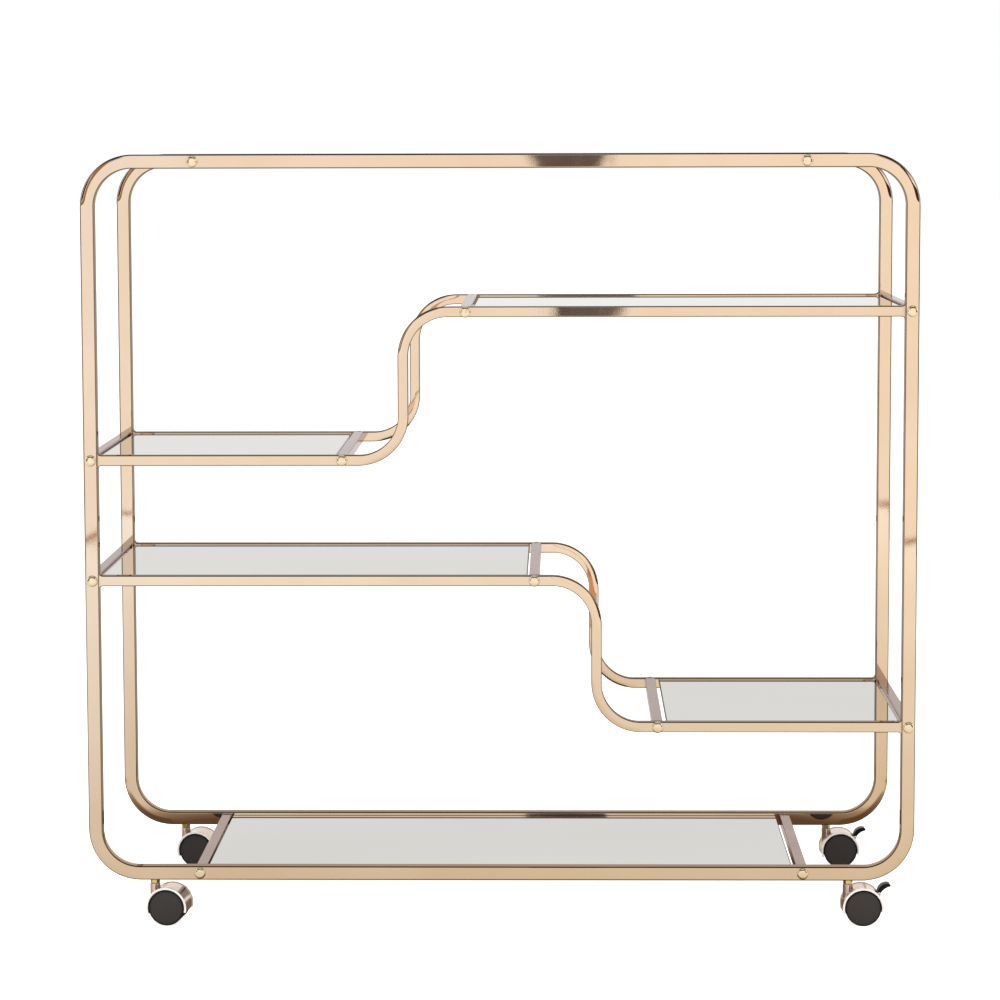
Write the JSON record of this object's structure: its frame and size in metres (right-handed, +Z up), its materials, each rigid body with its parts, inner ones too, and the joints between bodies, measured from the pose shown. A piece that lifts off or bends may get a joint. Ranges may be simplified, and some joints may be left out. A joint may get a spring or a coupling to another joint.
{
  "type": "bar cart on wheels",
  "caption": "Open metal bar cart with looped side frames, stepped mirror shelves on S-bent rails, and hooded swivel casters, some with a brake lever",
  "frame": {"origin": "on the floor under the middle of the cart", "axes": "+X to the cart's right along its length, +Y to the rear, +Z up"},
  "size_m": [1.01, 0.3877, 0.94],
  "materials": {
    "rose_gold_tube": "polished champagne rose-gold plating on steel tube",
    "brass_bolt": "polished pale gold plating on domed bolts",
    "zinc_steel": "plain zinc-plated steel",
    "mirror_glass": "silvered float glass with polished edges",
    "clear_pad": "clear soft polymer",
    "brass_stem": "yellow passivated stud with hex collar",
    "champagne_hood": "polished champagne plating on cast hood",
    "black_wheel": "satin moulded nylon",
    "black_lever": "semi-gloss moulded plastic"
  },
  "bodies": {
    "frame": {"bumper_pads": "clear_pad", "caster_front_left_stem": "brass_stem", "caster_front_right_stem": "brass_stem", "caster_rear_left_stem": "brass_stem", "caster_rear_right_stem": "brass_stem", "caster_sockets": "zinc_steel", "crossbar_bottom_left": "rose_gold_tube", "crossbar_bottom_right": "rose_gold_tube", "crossbar_inserts": "zinc_steel", "crossbar_lower_left_inner": "rose_gold_tube", "crossbar_lower_left_outer": "rose_gold_tube", "crossbar_lower_right_inner": "rose_gold_tube", "crossbar_lower_right_outer": "rose_gold_tube", "crossbar_top_left": "rose_gold_tube", "crossbar_top_right": "rose_gold_tube", "crossbar_upper_left_inner": "rose_gold_tube", "crossbar_upper_left_outer": "rose_gold_tube", "crossbar_upper_right_inner": "rose_gold_tube", "crossbar_upper_right_outer": "rose_gold_tube", "front_bolts": "brass_bolt", "front_frame": "rose_gold_tube", "lower_rail_front": "rose_gold_tube", "lower_rail_rear": "rose_gold_tube", "mirror_bottom": "mirror_glass", "mirror_lower_left": "mirror_glass", "mirror_lower_right": "mirror_glass", "mirror_upper_left": "mirror_glass", "mirror_upper_right": "mirror_glass", "rear_bolts": "brass_bolt", "rear_frame": "rose_gold_tube", "tabs_bottom": "rose_gold_tube", "tabs_lower_left": "rose_gold_tube", "tabs_lower_right": "rose_gold_tube", "tabs_upper_left": "rose_gold_tube", "tabs_upper_right": "rose_gold_tube", "upper_rail_front": "rose_gold_tube", "upper_rail_rear": "rose_gold_tube"},
    "swivel_front_left": {"caster_front_left_housing": "champagne_hood", "caster_front_left_axle": "zinc_steel"},
    "wheel_front_left_front": {"caster_front_left_wheel_front": "black_wheel"},
    "wheel_front_left_rear": {"caster_front_left_wheel_rear": "black_wheel"},
    "swivel_rear_left": {"caster_rear_left_housing": "champagne_hood", "caster_rear_left_axle": "zinc_steel"},
    "wheel_rear_left_front": {"caster_rear_left_wheel_front": "black_wheel"},
    "wheel_rear_left_rear": {"caster_rear_left_wheel_rear": "black_wheel"},
    "swivel_front_right": {"caster_front_right_housing": "champagne_hood", "caster_front_right_axle": "zinc_steel", "brake_pin_front_right": "zinc_steel"},
    "wheel_front_right_front": {"caster_front_right_wheel_front": "black_wheel"},
    "wheel_front_right_rear": {"caster_front_right_wheel_rear": "black_wheel"},
    "swivel_rear_right": {"caster_rear_right_housing": "champagne_hood", "caster_rear_right_axle": "zinc_steel", "brake_pin_rear_right": "zinc_steel"},
    "wheel_rear_right_front": {"caster_rear_right_wheel_front": "black_wheel"},
    "wheel_rear_right_rear": {"caster_rear_right_wheel_rear": "black_wheel"},
    "brake_front_right": {"brake_lever_front_right": "black_lever"},
    "brake_rear_right": {"brake_lever_rear_right": "black_lever"}
  },
  "joints": [
    {"name": "swivel_front_left", "type": "hinge", "parent": "frame", "child": "swivel_front_left", "pos_m": [-0.425, -0.1715, 0.04], "axis": [0, 0, 1], "continuous": true},
    {"name": "roll_front_left_front", "type": "hinge", "parent": "swivel_front_left", "child": "wheel_front_left_front", "pos_m": [-0.40763, -0.17363, 0.022], "axis": [0.1219, 0.9925, 0], "continuous": true},
    {"name": "roll_front_left_rear", "type": "hinge", "parent": "swivel_front_left", "child": "wheel_front_left_rear", "pos_m": [-0.40763, -0.17363, 0.022], "axis": [0.1219, 0.9925, 0], "continuous": true},
    {"name": "swivel_rear_left", "type": "hinge", "parent": "frame", "child": "swivel_rear_left", "pos_m": [-0.425, 0.1715, 0.04], "axis": [0, 0, 1], "continuous": true},
    {"name": "roll_rear_left_front", "type": "hinge", "parent": "swivel_rear_left", "child": "wheel_rear_left_front", "pos_m": [-0.40763, 0.16937, 0.022], "axis": [0.1219, 0.9925, 0], "continuous": true},
    {"name": "roll_rear_left_rear", "type": "hinge", "parent": "swivel_rear_left", "child": "wheel_rear_left_rear", "pos_m": [-0.40763, 0.16937, 0.022], "axis": [0.1219, 0.9925, 0], "continuous": true},
    {"name": "swivel_front_right", "type": "hinge", "parent": "frame", "child": "swivel_front_right", "pos_m": [0.425, -0.1715, 0.04], "axis": [0, 0, 1], "continuous": true},
    {"name": "roll_front_right_front", "type": "hinge", "parent": "swivel_front_right", "child": "wheel_front_right_front", "pos_m": [0.4425, -0.17119, 0.022], "axis": [-0.0175, 0.9998, 0], "continuous": true},
    {"name": "roll_front_right_rear", "type": "hinge", "parent": "swivel_front_right", "child": "wheel_front_right_rear", "pos_m": [0.4425, -0.17119, 0.022], "axis": [-0.0175, 0.9998, 0], "continuous": true},
    {"name": "brake_front_right", "type": "hinge", "parent": "swivel_front_right", "child": "brake_front_right", "pos_m": [0.46251, -0.17085, 0.03764], "axis": [-0.0175, 0.9998, 0], "range_deg": [0, 25]},
    {"name": "swivel_rear_right", "type": "hinge", "parent": "frame", "child": "swivel_rear_right", "pos_m": [0.425, 0.1715, 0.04], "axis": [0, 0, 1], "continuous": true},
    {"name": "roll_rear_right_front", "type": "hinge", "parent": "swivel_rear_right", "child": "wheel_rear_right_front", "pos_m": [0.4425, 0.17181, 0.022], "axis": [-0.0175, 0.9998, 0], "continuous": true},
    {"name": "roll_rear_right_rear", "type": "hinge", "parent": "swivel_rear_right", "child": "wheel_rear_right_rear", "pos_m": [0.4425, 0.17181, 0.022], "axis": [-0.0175, 0.9998, 0], "continuous": true},
    {"name": "brake_rear_right", "type": "hinge", "parent": "swivel_rear_right", "child": "brake_rear_right", "pos_m": [0.46251, 0.17215, 0.03764], "axis": [-0.0175, 0.9998, 0], "range_deg": [0, 25]}
  ]
}
